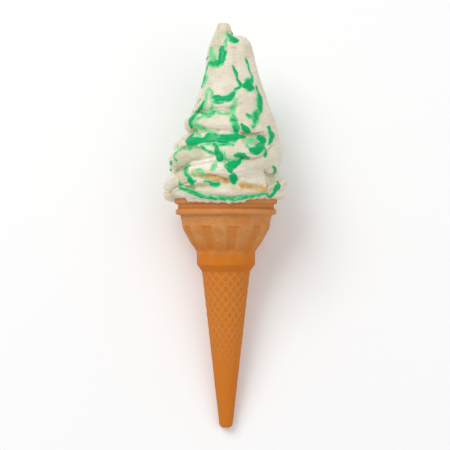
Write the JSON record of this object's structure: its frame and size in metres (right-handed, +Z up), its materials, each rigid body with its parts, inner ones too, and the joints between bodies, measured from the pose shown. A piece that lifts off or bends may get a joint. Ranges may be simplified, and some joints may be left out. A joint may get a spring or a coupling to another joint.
{
  "type": "ice cream cone",
  "caption": "Tall soft ice cream swirl with mint sauce on a moulded wafer cup cone with a long tapered tail, lying on its back.",
  "frame": {"origin": "middle of the bottom of the object's bounding box, on the surface that the cone lies on", "axes": "+Y from the wafer tip towards the peak of the swirl, +Z up, away from the surface it lies on, with the shown side up, +X to the right as seen from above with the peak away"},
  "size_m": [0.0722, 0.2322, 0.069],
  "materials": {
    "wafer": "dry baked wafer, matte",
    "ice_cream": "soft vanilla ice cream, satin, with mint sauce on it"
  },
  "bodies": {
    "root": {"wafer_cone": "wafer", "ice_cream": "ice_cream"}
  },
  "joints": []
}
